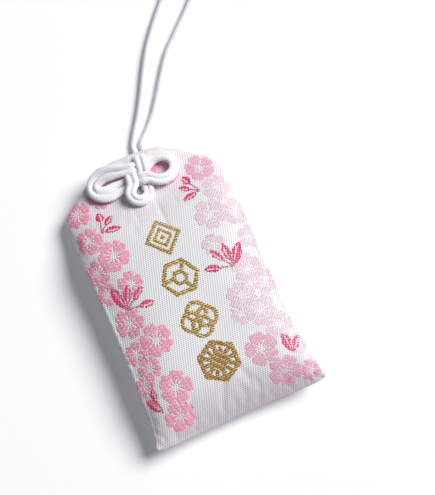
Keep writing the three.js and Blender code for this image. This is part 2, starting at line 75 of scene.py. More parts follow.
# Pouch
POUCH_LOW, POUCH_HIGH = (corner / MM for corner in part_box("front_panel"))
BOTTOM_Y = POUCH_LOW.y
MOUTH_Y = POUCH_HIGH.y
BAG_WIDTH = POUCH_HIGH.x - POUCH_LOW.x
BAG_THICKNESS = POUCH_HIGH.z
SETTLING = 1.0  # the last of the front's swell comes from the cloth simulation
WAIST_WIDTH = 41.4
SHOULDER_WIDTH = 43.6
SHOULDER_HEIGHT = 62.5
NECK_WIDTH = 17.6
CORNER_REACH = 24
CORNER_POWER = 2.4
SEAM_HEIGHT = 3.6  # at the neck
SEAM_LIFT = 4.3  # how much higher the filling holds it along the sides
CORNER_LIFT = 0.5  # share of that left at the bottom corners
SEAM_LIFT_HEIGHT = 60.5  # from the bottom edge: the seam starts to rise from the neck's height
SEAM_LIFT_REACH = 14
SEAM_INSET = 0.5
SEWING_THREAD = 0.3
STITCH = 2.4
NECK_THICKNESS = 3.6
BOTTOM_REACH = 15
MOUTH_REACH = 2.6
FRONT_FULL_HEIGHT = 45
FRONT_NECK_HEIGHT = 70
BACK_FLAT_HEIGHT = 57
BACK_NECK_HEIGHT = 67.5
BACK_FLAT_SHARE = 0.7
PILLOW_POWER = 2.5
PILLOW_EDGE = 0.8
FRONT_POWER = 4.0  # the stuffed front is flatter across, with rounder sides
FRONT_EDGE = 0.5
SHOULDER_Y = BOTTOM_Y + SHOULDER_HEIGHT

# How the sewn cloth lies: the photographed pouch leans a little
SHOULDER_LEAN = 0.038
SHOULDER_ROUND = 0.9
NECK_ROUND = 1.1
NECK_ROUND_REACH = 4
CORNER_SHIFT = 0.5  # the lower left corner reaches out
LEFT_FULL = 1.0  # the left side is fuller than the right
LEFT_FULL_REACH = 20
LEFT_FULL_TOP = 8  # above the shoulder
CORNER_ROUND = 0.9
BOTTOM_BOW = 0.7
BOTTOM_DROP = 1.1
BOTTOM_BOW_REACH = 6
PUCKER = 0.06
PUCKER_REACH = 1.9
GATHER = 0.07
GATHER_START_Y = 22
GATHER_REACH = 9
GATHER_SLANT = 0.12
WAVE = 0.12
WAVE_ACROSS = 6.5  # for each radian
WAVE_ALONG = 8.0
SMOOTH_SEAM = 0.6  # next to the seams the cloth has no wrinkles
# Uneven folds: radians for each mm, how far the folds wander, and how fast
SIDE_PUCKERS = (2.1, 1.3, 0.21)
BOTTOM_PUCKERS = (1.9, 1.1, 0.4)
NECK_GATHERS = (2.2, 0.6, 0.9)

PANEL_COLUMNS = 128
BOTTOM_ROWS = 40
BODY_ROWS = 120
MOUTH_ROWS = 14
ROW_CROWDING = 1.6  # towards the bottom edge and the mouth

# Cloth simulation: the sewn shell is blown out a little with the seams held, so that the slack puckers there
SIM_COLUMNS = 56
SIM_ROWS = 92
SIM_SCALE = 20.0
SIM_FRAMES = 20
CLOTH_SETTINGS = dict(
    quality=5,
    mass=0.2,
    tension_stiffness=40,
    compression_stiffness=40,
    shear_stiffness=15,
    bending_stiffness=0.4,
    air_damping=3,
    shrink_min=-0.01,  # the cloth is longer than the seam that holds it
    use_pressure=True,
    uniform_pressure_force=3.0,
)
MOST_MOVE = 1.2
TABLE_GAP = 0.15  # room for the floats under the back
HELD_NECK_Y = 20
HELD_BACK_HEIGHT = 8  # from the bottom edge
HELD_BACK_SHARE = 0.75  # of the back's width
HELD_BACK_FADE = 0.1
HELD_REACH = 4

# Woven figures
PICK = 0.28  # between neighbouring weft threads
END = 0.14  # between neighbouring warp threads
CLOTH_REACH = 27.0  # half width of the drawn figure, along the cloth
CLOTH_LENGTH = 80.0  # up the middle of the front
TWILL_ACROSS = 0.62  # binding points of the satin ground
TWILL_ALONG = 1.0
TWILL_SLANT = 0.31
WEAVE_START = 1.0  # from the bottom edge
WEAVE_END = 0.5  # before the mouth
SHORTEST_FLOAT = 2  # warp threads
FLOAT_STEP = 0.35
FLOAT_SINK = 0.02  # share of its length at both ends
FLOAT_END_WIDTH = 0.7  # share of a thread's width where it dips into the cloth
LEAF_RIM = 0.25
LEAF_VEIN = 0.12
LEAF_STEM = 0.26
GROUND_GAP = 0.4  # plain cloth kept free round the gold figures

# Knot and loop
CORD = 1.6
KNOT_CENTRE = np.array([-0.2, MOUTH_Y - 6.5])
KNOT_TURN = math.radians(-9)
STRAND_INNER = 0.9
STRAND_PITCH = 1.6
STRAND_OUTER = STRAND_INNER + STRAND_PITCH
WEAVE_HEIGHT = 0.78
KNOT_LIFT = 1.7  # knot's middle layer above the cloth
KNOT_DROOP = 0.95  # how far the ears follow the cloth down at the sides
SLOT_REACH = STRAND_OUTER + 1.8
SLOT_DEPTH = 4.6  # below the knot's middle layer
SLOT_RISE = 2.2
SLOT_CREST = 0.6
EAR_OPEN_ANGLE = math.radians(115)
# Ears: the second turn lies outside the first by so much along and across, and lower or higher by stack
LEFT_EAR = dict(
    side=-1, reach=8.0, length=3.0, height=1.5, along=1.7, across=2.25, lift=0.0, stack=-0.1, drop=-0.9
)
RIGHT_EAR = dict(
    side=1, reach=6.2, length=3.1, height=2.6, along=1.0, across=1.3, lift=0.2, stack=-0.7, drop=0.25
)
LOWER_SHIFT = -0.5
LOWER_REACH = 4.9
LOWER_WIDTH = 1.75
LOWER_HEIGHT = 1.75
LOWER_PITCH = 1.2
LOWER_STACK = -0.65
STRAND_FLATNESS = 0.05  # the knot's strands lie a little flat, those along the left ear most
EAR_WIDENING = 0.33
EAR_THINNING = 0.15
EAR_FLAT_START = 4.0  # left of the knot's middle
EAR_FLAT_REACH = 3.0
LOOP_HEIGHT = 0.85  # the cord's middle above the table, also under the neck
LOOP_ROUTE = [
    (2.0, 0.3), (2.05, 2.1), (3.7, 5.1), (6.7, 9.5), (9.7, 14.5), (12.9, 20.3), (16.4, 25.9),
    (20.5, 31.1), (25.2, 36.4), (30.0, 41.7), (34.2, 46.4), (37.6, 50.1), (40.5, 52.1), (43.6, 51.3),
    (44.6, 48.3), (42.6, 44.7), (38.9, 40.5), (34.6, 35.9), (29.9, 31.1), (25.0, 26.6), (20.4, 22.2),
    (16.9, 17.5), (13.6, 12.7), (10.4, 8.3), (7.2, 4.9), (4.4, 2.1), (4.1, 0.3),
]  # x, and y from the mouth
BRAID_YARNS = 4  # each way round the cord
BRAID_PITCH = 0.68
BRAID_RELIEF = 0.13
BRAID_MIDDLE = 0.75  # share of the relief inside the cord's thickness
YARN_ROUND = 1.7
YARN_CROSSING = 0.6
CORD_SIDES = 32
CORD_STEP = 0.11
SPAN_STEPS = 24  # between two points of a route
TURN_POINTS = 9

# Filling
WADDING_COLUMNS = 41
WADDING_ROWS = 61
WADDING_RIM_POWER = 8
WADDING_RIM_HEIGHT = 0.6
WADDING_LUMPS = 0.12
UNDER_CLOTH = 1.0
THREAD_SIDES = 6


# Small helpers


def lerp(a, b, t):
    return a + (b - a) * t


def ease(t):
    t = np.clip(t, 0, 1)
    return t * t * (3 - 2 * t)


def unit(v):
    return v / np.maximum(np.linalg.norm(v, axis=-1, keepdims=True), 1e-12)


def rotated(x, y, angle):
    """A place in axes that are turned by an angle."""
    c, s = math.cos(angle), math.sin(angle)
    return x * c + y * s, y * c - x * s


def lengths_along(points, power=1.0):
    """Length from the start of a line to each of its points. A power below 1 evens out its steps."""
    steps = np.linalg.norm(np.diff(points, axis=0), axis=-1)
    return np.concatenate([[0], np.cumsum(steps**power)])


def read_off(places, known, points):
    """Points of a line at other places along it."""
    return np.stack([np.interp(places, known, points[:, k]) for k in range(3)], axis=-1)


def mesh_object(name, points, faces, material, body):
    """A smooth mesh piece from points in millimetres, riding on a body."""
    mesh = bpy.data.meshes.new(name)
    mesh.from_pydata((np.asarray(points) * MM).tolist(), [], faces)
    mesh.validate()
    mesh.shade_smooth()
    mesh.materials.append(material)
    piece = bpy.data.objects.new(name, mesh)
    bpy.context.scene.collection.objects.link(piece)
    if body:
        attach(piece, body)
    return piece


def grid_faces(rows, columns, first=0):
    """Quads of a grid of points, row after row."""
    at = first + np.arange(rows * columns).reshape(rows, columns)
    quads = np.stack([at[:-1, :-1], at[:-1, 1:], at[1:, 1:], at[1:, :-1]], axis=-1)
    return quads.reshape(-1, 4)


def tube_faces(count, sides, first=0):
    """Faces of a closed tube, ring after ring of points."""
    at = first + np.arange(count * sides).reshape(count, sides)
    turned = np.roll(at, -1, axis=1)
    quads = np.stack([at[:-1], turned[:-1], turned[1:], at[1:]], axis=-1).reshape(-1, 4)
    return quads.tolist() + [at[0][::-1].tolist(), at[-1].tolist()]


# Materials


class Nodes:
    """The node tree of a material or world, with short calls to add and link nodes."""

    def __init__(self, owner, shader="Principled BSDF"):
        owner.use_nodes = True
        self.owner = owner
        self.tree = owner.node_tree
        self.shader = self.tree.nodes[shader]

    def set(self, **values):
        for key, value in values.items():
            self.shader.inputs[key.replace("_", " ")].default_value = value

    def add(self, kind, inputs=None, **settings):
        """A new node, whose inputs are values or the outputs of other nodes."""
        node = self.tree.nodes.new("ShaderNode" + kind)
        for key, value in settings.items():
            setattr(node, key, value)
        for key, value in (inputs or {}).items():
            if isinstance(value, bpy.types.NodeSocket):
                self.tree.links.new(value, node.inputs[key])
            else:
                node.inputs[key].default_value = value
        return node

    def math(self, operation, *inputs):
        return self.add("Math", dict(enumerate(inputs)), operation=operation).outputs[0]

    def link(self, socket, name):
        self.tree.links.new(socket, self.shader.inputs[name])

    def ramp(self, value, *stops):
        node = self.add("ValToRGB", {0: value})
        elements = node.color_ramp.elements
        while len(elements) < len(stops):
            elements.new(0.5)
        for element, (place, colour) in zip(elements, stops):
            element.position = place
            element.color = (*colour, 1)
        return node.outputs[0]

    def product(self, first, second):
        inputs = {"Factor": 1.0, "A": first, "B": second}
        return self.add("Mix", inputs, data_type="RGBA", blend_type="MULTIPLY").outputs["Result"]

    def noise(self, scale, detail, stretch=(1, 1, 1)):
        place = self.add("TexCoord").outputs["Object"]
        moved = self.add("Mapping", {"Vector": place, "Scale": stretch}).outputs[0]
        return self.add("TexNoise", {"Vector": moved, "Scale": scale, "Detail": detail}).outputs[0]

    def bump(self, height, strength, distance):
        node = self.add("Bump", {"Height": height, "Strength": strength, "Distance": distance})
        self.link(node.outputs[0], "Normal")

    def grain(self, noise, dark, light, depth):
        """Colour and fine relief from one noise."""
        self.link(self.ramp(noise, (0.3, dark), (0.7, light)), "Base Color")
        self.bump(noise, 0.3, depth)

    def seen_directly(self):
        """1 for rays that show the background: from the camera, in gloss and through glass."""
        path = self.add("LightPath").outputs
        seen = path["Is Camera Ray"]
        for name in ("Is Glossy Ray", "Is Transmission Ray"):
            seen = self.math("MAXIMUM", seen, path[name])
        return seen


def new_material(name):
    return Nodes(bpy.data.materials.new(name))


def brocade_material():
    """White satin ground: light floats with small binding points darkened by painted shade, tinted towards
    both ends partly by dye and partly by painted shade.
    """
    nodes = new_material("brocade_ground")
    uv = nodes.add("UVMap", uv_map="cloth").outputs[0]
    across, along, _ = nodes.add("SeparateXYZ", {0: uv}).outputs
    slanted = nodes.math("ADD", across, nodes.math("MULTIPLY", along, TWILL_SLANT))
    columns = nodes.math("COSINE", nodes.math("MULTIPLY", slanted, 2 * math.pi / TWILL_ACROSS))
    rows = nodes.math("COSINE", nodes.math("MULTIPLY", along, 2 * math.pi / TWILL_ALONG))
    points = nodes.math("MULTIPLY", columns, rows)
    # painted shade: the small binding points are coloured darker where the weave dips, on top of their bump
    shade = nodes.ramp(points, (0.3, (0.9, 0.885, 0.895)), (0.8, (0.48, 0.465, 0.5)))
    height = nodes.math("DIVIDE", along, CLOTH_LENGTH)
    # partly painted shade: the lavender grey towards the bottom edge stands for the slope that turns away
    # from the light, the pink near the neck for the shade below the knot; both are partly a dyed ombré too
    dye_and_painted_shade = nodes.ramp(
        height,
        (0.02, (0.9, 0.82, 0.9)),
        (0.16, WHITE),
        (0.7, WHITE),
        (0.8, (0.985, 0.905, 0.965)),
        (0.9, (1.0, 0.95, 0.975)),
    )
    nodes.link(nodes.product(shade, dye_and_painted_shade), "Base Color")
    nodes.bump(nodes.math("MULTIPLY", points, -1.0), 0.4, 0.0001)
    nodes.set(Roughness=0.48, Specular_IOR_Level=0.3, Sheen_Weight=0.2, Sheen_Roughness=0.4)
    return nodes.owner


def yarn_material(name, dark, light, roughness=0.5, metallic=0.0):
    """Lustrous weft thread with fibres along its length."""
    nodes = new_material(name)
    nodes.grain(nodes.noise(2600, 2.0, (0.12, 1, 1)), dark, light, 0.00005)
    nodes.set(Roughness=roughness, Metallic=metallic, Specular_IOR_Level=0.25)
    return nodes.owner


def cord_material():
    """White braided cord: fine filaments on the modelled yarns, painted shade in the pits where the yarns
    cross, and a faint lilac in its white that is painted shade colour.
    """
    nodes = new_material("braided_cord")
    pit_shade = nodes.add("Attribute", attribute_name="pit_shade").outputs["Fac"]
    # painted shade: the cord darkens to a lilac grey in the pits where its yarns cross
    shade = nodes.ramp(pit_shade, (0.42, WHITE), (0.75, (0.57, 0.56, 0.61)))
    filaments = nodes.noise(3200, 2.0)
    # the faint lilac in this white is painted shade colour: it stands in for the lilac of the cord's shaded
    # side
    white = nodes.ramp(filaments, (0.25, (0.93, 0.915, 0.96)), (0.7, (0.985, 0.975, 0.995)))
    nodes.link(nodes.product(white, shade), "Base Color")
    nodes.bump(filaments, 0.3, 0.00005)
    nodes.set(Roughness=0.6, Specular_IOR_Level=0.3, Sheen_Weight=0.6, Sheen_Roughness=0.5)
    return nodes.owner


def inner_material(name, dark, light, scale, stretch=(1, 1, 1), roughness=0.85):
    """Hidden filling: paper, card, wood, wadding or thread, told apart by colour and grain."""
    nodes = new_material(name)
    nodes.grain(nodes.noise(scale, 5.0, stretch), dark, light, 0.0001)
    nodes.set(Roughness=roughness)
    return nodes.owner


# Pouch surface


def half_width(y):
    slope = lerp(SHOULDER_WIDTH, NECK_WIDTH, (y - SHOULDER_Y) / (MOUTH_Y - SHOULDER_Y)) / 2
    corner = 1 - np.clip((y - BOTTOM_Y) / CORNER_REACH, 0, 1)
    waist_y = BOTTOM_Y + SHOULDER_HEIGHT / 2
    shoulder = np.clip((y - waist_y) / (SHOULDER_Y - waist_y), 0, 1)
    flare = (BAG_WIDTH - WAIST_WIDTH) / 2 * corner**CORNER_POWER
    widening = (SHOULDER_WIDTH - WAIST_WIDTH) / 2 * shoulder**2
    side = WAIST_WIDTH / 2 + flare + widening
    soft = np.log1p(np.exp(-np.abs(slope - side) / SHOULDER_ROUND)) * SHOULDER_ROUND
    return np.minimum(slope, side) - soft


def swell(t, power=PILLOW_POWER, edge=PILLOW_EDGE):
    return (1 - np.clip(np.abs(t), 0, 1) ** power) ** edge


def front_swell(s):
    return swell(s, FRONT_POWER, FRONT_EDGE)


def end_swell(y):
    bottom = swell(1 - np.clip((y - BOTTOM_Y) / BOTTOM_REACH, 0, 1))
    mouth = swell(1 - np.clip((MOUTH_Y - y) / MOUTH_REACH, 0, 1))
    return bottom * mouth


def seam_height(s, y):
    """The seam is low at the neck and in the middle of the bottom edge; the filling holds up its sides."""
    height = y - BOTTOM_Y
    side = ease((SEAM_LIFT_HEIGHT - height) / SEAM_LIFT_REACH)
    bottom = ease(1 - height / BOTTOM_REACH)
    return SEAM_HEIGHT + SEAM_LIFT * side * (1 - bottom * (1 - CORNER_LIFT * s * s))


def crown(y, neck_height, full_height, full):
    """How far a side stands out from the seam, over the body and at the neck."""
    body = ease((neck_height - (y - BOTTOM_Y)) / (neck_height - full_height))
    return lerp(NECK_THICKNESS / 2, full, body)


def front_crown(s, y):
    full = BAG_THICKNESS - SETTLING - seam_height(s, y)
    return crown(y, FRONT_NECK_HEIGHT, FRONT_FULL_HEIGHT, full)


def front_rise(s, y):
    return front_crown(s, y) * end_swell(y) * front_swell(s)


def back_crown(s, y):
    return crown(y, BACK_NECK_HEIGHT, BACK_FLAT_HEIGHT, seam_height(s, y))


def uneven_wave(place, rate, wander, wander_rate, phase=0):
    return np.sin(rate * place + wander * np.sin(wander_rate * place) + phase)


def wrinkles(s, y):
    """Small folds of the sewn cloth, outwards: puckers along the seams, gathers at the neck, soft waves."""
    x = s * half_width(y)
    to_side = (1 - np.abs(s)) * half_width(y)
    to_bottom = y - BOTTOM_Y
    side = uneven_wave(y, *SIDE_PUCKERS, np.sign(s)) * np.exp(-to_side / PUCKER_REACH)
    bottom = uneven_wave(x, *BOTTOM_PUCKERS) * np.exp(-to_bottom / PUCKER_REACH)
    near_neck = ease((y - GATHER_START_Y) / GATHER_REACH)
    gathers = uneven_wave(x, *NECK_GATHERS, GATHER_SLANT * y) * near_neck * swell(s)
    waves = np.sin(x / WAVE_ACROSS + 1) * np.sin(y / WAVE_ALONG + 0.5) * swell(s)
    free = ease(to_side / SMOOTH_SEAM) * ease(to_bottom / SMOOTH_SEAM)
    return free * (PUCKER * (side + bottom) + GATHER * gathers + WAVE * waves)


def settled(points):
    """The cloth's small lean: the left shoulder sits higher, the left side is full to its corner."""
    x, y = points[..., 0], points[..., 1]
    up = ease((y - BOTTOM_Y) / SHOULDER_HEIGHT)
    left = ease(-x / (BAG_WIDTH / 2))
    corner = left * ease(1 - (y - BOTTOM_Y) / CORNER_REACH)
    below_top = ease((SHOULDER_Y + LEFT_FULL_TOP - y) / LEFT_FULL_REACH)
    full = left * ease((y - BOTTOM_Y) / LEFT_FULL_REACH) * below_top
    moved = points.copy()
    moved[..., 1] = y - SHOULDER_LEAN * x * up
    moved[..., 0] = x - CORNER_SHIFT * corner - LEFT_FULL * full
    return moved


def panel_rows():
    bottom = BOTTOM_Y + BOTTOM_REACH * np.linspace(0, 1, BOTTOM_ROWS) ** ROW_CROWDING
    body = np.linspace(BOTTOM_Y + BOTTOM_REACH, MOUTH_Y - MOUTH_REACH, BODY_ROWS)[1:]
    mouth = MOUTH_Y - MOUTH_REACH * np.linspace(1, 0, MOUTH_ROWS)[1:] ** ROW_CROWDING
    return np.concatenate([bottom, body, mouth])


def panel_grid(front, columns, rows):
    """Points of one side of the pouch, rows from the bottom edge to the mouth."""
    s, y = np.meshgrid(columns, rows)
    if front:
        z = seam_height(s, y) + np.maximum(front_rise(s, y) + wrinkles(s, y) * end_swell(y), 0)
    else:
        edge = np.clip((np.abs(s) - BACK_FLAT_SHARE) / (1 - BACK_FLAT_SHARE), 0, 1)
        rise = back_crown(s, y) * end_swell(y) * swell(edge)
        lift = np.abs(wrinkles(s, y)) * ease(back_crown(s, y) - rise)
        z = seam_height(s, y) - np.maximum(rise - lift, 0)
    neck = ease((y - MOUTH_Y + NECK_ROUND_REACH) / NECK_ROUND_REACH)
    neck_drop = NECK_ROUND * neck * np.abs(s) ** 4
    low = ease((BOTTOM_Y + BOTTOM_BOW_REACH - y) / BOTTOM_BOW_REACH)
    low_rise = low * (CORNER_ROUND * np.abs(s) ** 10 + BOTTOM_BOW * (1 - s * s) - BOTTOM_DROP)
    return settled(np.stack([s * half_width(y), y - neck_drop + low_rise, z], axis=-1))


def held_share(s, y, front):
    """How firmly each place is held: at the seams, under the knot and where the back lies on the table."""
    seam = (np.abs(s) >= 1) | (y <= BOTTOM_Y) | (y >= MOUTH_Y)
    held = np.maximum(seam, ease((y - HELD_NECK_Y) / HELD_REACH))
    if not front:
        middle = ease((HELD_BACK_SHARE - np.abs(s)) / HELD_BACK_FADE)
        held = np.maximum(held, middle * ease((y - BOTTOM_Y - HELD_BACK_HEIGHT) / HELD_REACH))
    return held


def sewn_shell(columns, rows):
    """Both sides of the pouch as one closed mesh: points, faces, and how firmly each point is held."""
    s, y = np.meshgrid(columns, rows)
    front, back = panel_grid(True, columns, rows), panel_grid(False, columns, rows)
    index = np.arange(s.size).reshape(s.shape)
    inner = np.zeros(s.shape, dtype=bool)
    inner[1:-1, 1:-1] = True
    back_index = index.copy()
    back_index[inner] = s.size + np.arange(inner.sum())
    points = np.concatenate([front.reshape(-1, 3), back[inner]])
    held = np.concatenate([held_share(s, y, True).ravel(), held_share(s, y, False)[inner]])
    quads = grid_faces(*s.shape)
    faces = np.concatenate([quads, back_index.ravel()[quads][:, ::-1]])
    return points, faces, held, index, back_index


def settling_shell(points, faces, held):
    """The sewn shell as a cloth object, enlarged so that the simulation is steady."""
    mesh = bpy.data.meshes.new("settling_shell")
    mesh.from_pydata((points * MM * SIM_SCALE).tolist(), [], faces.tolist())
    shell = bpy.data.objects.new("settling_shell", mesh)
    bpy.context.scene.collection.objects.link(shell)
    group = shell.vertex_groups.new(name="held")
    for vertex, weight in enumerate(held):
        group.add([vertex], float(weight), "REPLACE")
    settings = shell.modifiers.new("cloth", "CLOTH").settings
    for key, value in CLOTH_SETTINGS.items():
        setattr(settings, key, value)
    settings.vertex_group_mass = "held"
    settings.effector_weights.gravity = 0
    return shell


def settled_points(shell):
    """Where the shell's points come to lie, in millimetres."""
    scene = bpy.context.scene
    for step in range(1, SIM_FRAMES + 1):
        scene.frame_set(step)
    mesh = shell.evaluated_get(bpy.context.evaluated_depsgraph_get()).data
    after = np.zeros(len(mesh.vertices) * 3, dtype=np.float32)
    mesh.vertices.foreach_get("co", after)
    scene.frame_set(1)
    return after.reshape(-1, 3) / (MM * SIM_SCALE)


def simulated_moves(to_columns, to_rows):
    """How far each place of the front and of the back moves as the cloth settles."""
    columns = np.linspace(-1, 1, SIM_COLUMNS + 1)
    rows = np.linspace(BOTTOM_Y, MOUTH_Y, SIM_ROWS + 1)
    points, faces, held, index, back_index = sewn_shell(columns, rows)
    shell = settling_shell(points, faces, held)
    moves = settled_points(shell) - points
    mesh = shell.data
    bpy.data.objects.remove(shell)
    bpy.data.meshes.remove(mesh)
    size = np.linalg.norm(moves, axis=1, keepdims=True)
    moves *= MOST_MOVE * np.tanh(size / MOST_MOVE) / np.maximum(size, 1e-9)
    return [spread(columns, rows, moves[side], to_columns, to_rows) for side in (index, back_index)]


def spread(columns, rows, field, to_columns, to_rows):
    """A field on a plain grid, read off at other columns and rows."""
    across = np.stack([read_off(to_columns, columns, line) for line in field])
    lines = [read_off(to_rows, rows, across[:, k]) for k in range(len(to_columns))]
    return np.stack(lines, axis=1)


def pouch_grids():
    """Fine grids of the front and back as they lie after the simulation."""
    columns = np.sin(np.linspace(-1, 1, PANEL_COLUMNS + 1) * math.pi / 2)
    rows = panel_rows()
    front_moves, back_moves = simulated_moves(columns, rows)
    front = panel_grid(True, columns, rows) + front_moves
    back = panel_grid(False, columns, rows) + back_moves
    back[..., 2] = np.maximum(back[..., 2], TABLE_GAP)
    return front, back


def grid_normals(points, outward):
    along = np.gradient(points, axis=0)
    across = np.gradient(points, axis=1)
    return unit(np.cross(across, along)) * outward


def cloth_measures(points):
    """Lengths along the cloth: across from the middle for each point, and up the middle for each row."""
    across = np.stack([lengths_along(row) for row in points])
    middle = points.shape[1] // 2
    across -= across[:, middle : middle + 1]
    return across, lengths_along(points[:, middle])


def panel_piece(name, points, outward, node, material):
    """One panel of cloth, with the cloth's own lengths as its uv map."""
    faces = grid_faces(*points.shape[:2])[:, ::outward]
    piece = mesh_object(name, points.reshape(-1, 3), faces.tolist(), material, None)
    across, up = cloth_measures(points)
    lengths = np.stack([across, np.broadcast_to(up[:, None], across.shape)], axis=-1).reshape(-1, 2)
    corners = np.zeros(len(piece.data.loops), dtype=np.int32)
    piece.data.loops.foreach_get("vertex_index", corners)
    layer = piece.data.uv_layers.new(name="cloth")
    layer.data.foreach_set("uv", lengths[corners].ravel().astype(np.float32))
    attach(piece, "pouch")
    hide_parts(node)


# Woven figures


class Cloth:
    """A panel's surface in its own measures: a across from the middle, b up from the bottom edge."""

    def __init__(self, points, outward):
        self.points = points
        self.normals = grid_normals(points, outward)
        self.across, self.up = cloth_measures(points)
        self.middle_y = points[:, points.shape[1] // 2, 1]

    def row(self, b):
        """One weft line: lengths across, points and normals."""
        place = np.interp(b, self.up, np.arange(len(self.up)))
        low = min(int(place), len(self.up) - 2)
        share = place - low
        parts = (self.across, self.points, self.normals)
        return tuple(lerp(part[low], part[low + 1], share) for part in parts)

    def measure(self, x, y):
        """The cloth's own measures of a place given on the pouch's plan."""
        b = np.interp(y, self.middle_y, self.up)
        across, points, _ = self.row(b)
        order = np.argsort(points[:, 0])
        return np.interp(x, points[order, 0], across[order]), b


class Draft:
    """Point paper of a panel: which yarn shows at each crossing of warp and weft."""

    def __init__(self, cloth):
        self.cloth = cloth
        self.b = np.arange(WEAVE_START, cloth.up[-1] - WEAVE_END, PICK)
        self.a = np.arange(-CLOTH_REACH, CLOTH_REACH, END)
        self.yarn = np.zeros((len(self.b), len(self.a)), dtype=np.int8)

    def paint(self, figure, x, y, *yarns, **options):
        """Draws a figure: its footprint is cleared to ground, then each of its shapes gets a yarn."""
        a, b = self.cloth.measure(x, y)
        p, q = np.meshgrid(self.a - a, self.b - b)
        footprint, *shapes = figure(p, q, **options)
        self.yarn[footprint] = 0
        for shape, yarn in zip(shapes, yarns):
            self.yarn[shape] = yarn


def flower(p, q, radius, turn):
    """Five broad notched petals with a starburst of thin lines in the middle."""
    r = np.hypot(p, q)
    half_petal = math.pi / 5
    angle = np.mod(np.arctan2(q, p) - turn + half_petal, 2 * half_petal) - half_petal
    t = np.abs(angle) / half_petal
    notch = 0.06 * np.clip(1 - t / 0.22, 0, 1)
    fall = 0.3 * np.clip((t - 0.55) / 0.45, 0, 1) ** 1.6
    edge = radius * (1 - notch - fall)
    gap = (r * np.sin(half_petal - np.abs(angle)) < 0.13) & (r < 0.55 * radius)
    stamen = (r * np.abs(np.sin(angle)) < 0.1) & (r < 0.42 * radius)
    shape = (r < edge) & (r > 0.14 * radius) & ~gap & ~stamen
    return r < edge + 0.12, shape


def sprig(p, q, leaves, turn, mirrored):
    """A fan of bud leaves with an open vein and one dark rim: angle, stem, length and width of each."""
    lit = np.zeros(p.shape, dtype=bool)
    dark = np.zeros(p.shape, dtype=bool)
    p = -p if mirrored else p
    for degrees, start, length, width in leaves:
        u, v = rotated(p, q, math.radians(degrees) + turn)
        t = (u - start) / length
        half = width / 2 * np.sin(math.pi * np.clip(t, 0, 1)) ** 0.75
        blade = (t > 0) & (t < 1) & (np.abs(v) < half)
        stem = (u > 0) & (u < start + 0.3) & (np.abs(v) < LEAF_STEM)
        rim = blade & (v < LEAF_RIM - half) | stem
        vein = (np.abs(v + 0.2 * half) < LEAF_VEIN) & (t > 0.2) & (t < 0.8)
        lit |= blade & ~rim & ~vein
        dark |= rim
    return lit | dark, lit, dark


def band(distance, radius, width):
    return np.abs(distance - radius) < width / 2


def lozenge(p, q, size=5.0):
    d = np.abs(p) + np.abs(q) * 0.95
    return d < size + GROUND_GAP, band(d, size - 0.7, 1.35) | band(d, size - 2.75, 1.1) | (d < 0.75)


def tortoise(p, q, size=4.5):
    """A hexagon in a hexagon, with three spokes between them."""
    d = np.zeros(p.shape)
    spoke = np.zeros(p.shape, dtype=bool)
    for k in range(3):
        d = np.maximum(d, np.abs(rotated(p, q, math.radians(60 * k + 90))[0]))
        u, v = rotated(p, q, math.radians(120 * k + 60))
        spoke |= (np.abs(v) < 0.55) & (u > 0)
    shape = band(d, size - 0.55, 1.1) | band(d, 1.5, 1.0) | (spoke & (d > 1.5) & (d < size))
    return d < size + GROUND_GAP, shape


def circles(p, q, size=4.8, gap=0.5):
    shape = np.zeros(p.shape, dtype=bool)
    for k in range(4):
        angle = math.radians(90 * k)
        r = np.hypot(p - size * 0.42 * math.cos(angle), q - size * 0.42 * math.sin(angle))
        shape |= band(r, size * 0.5, 1.05)
    return np.hypot(p, q) < size + gap, shape


def hemp_star(p, q, size=5.3):
    """A six-pointed hemp leaf: spokes, half spokes and the rim that joins their ends."""
    r = np.hypot(p, q)
    angle = np.mod(np.arctan2(q, p), math.pi / 3) - math.pi / 6
    from_corner = math.pi / 6 - np.abs(angle)
    spoke = (r * np.abs(np.sin(angle)) < 0.6) & (r < size)
    half_spoke = (r * np.abs(np.sin(from_corner)) < 0.5) & (r < size * 0.7) & (r > 1.2)
    rim = band(r * np.cos(from_corner), size * 0.82, 1.25)
    return r < size + GROUND_GAP, spoke | half_spoke | rim


PINK, PALE, ROSE, CRIMSON, DEEP, GOLD, BRONZE, BROWN = range(1, 9)

FLOWER_SIZE = 1.11

# Places of the figures on the pouch's plan: x, y, radius, turn in degrees
LEFT_FLOWERS = [
    (-18.4, 26.0, 3.4, 20), (-19.2, 3.4, 2.7, 50), (-19.6, -21.3, 2.5, 10), (-19.3, 9.4, 3.2, 10),
    (-18.3, 17.8, 3.5, 60), (-12.9, 3.4, 3.1, 80), (-14.0, 11.8, 3.8, 40), (-18.5, -13.2, 2.9, 0),
    (-17.0, -17.8, 2.9, 36), (-17.0, -5.4, 3.6, 54), (-12.6, -12.0, 3.9, 25), (-14.6, -31.3, 3.7, 30),
    (-12.8, -24.6, 3.9, 65), (6.4, 28.6, 3.8, 15), (-6.8, 31.2, 3.0, 50), (-10.9, 28.3, 3.3, 35),
]
RIGHT_FLOWERS = [
    (19.6, 4.0, 3.0, 0), (19.6, -26.5, 2.6, 60), (18.8, 11.5, 3.4, 10),
    (17.2, 19.1, 3.7, 60), (10.2, 4.9, 2.8, 15), (12.7, 12.8, 3.8, 45),
    (18.6, -8.4, 3.3, 30), (15.6, -3.7, 3.8, 80), (9.6, -14.2, 2.6, 50), (11.4, -10.0, 3.5, 5),
    (17.0, -20.4, 3.5, 62), (14.4, -15.0, 3.9, 35),
]
END_FLOWERS = [
    (15.4, 26.1, 3.5, 25), (20.2, -33.4, 2.8, 15), (13.9, -31.4, 3.9, 50), (10.6, -24.3, 3.9, 20),
]
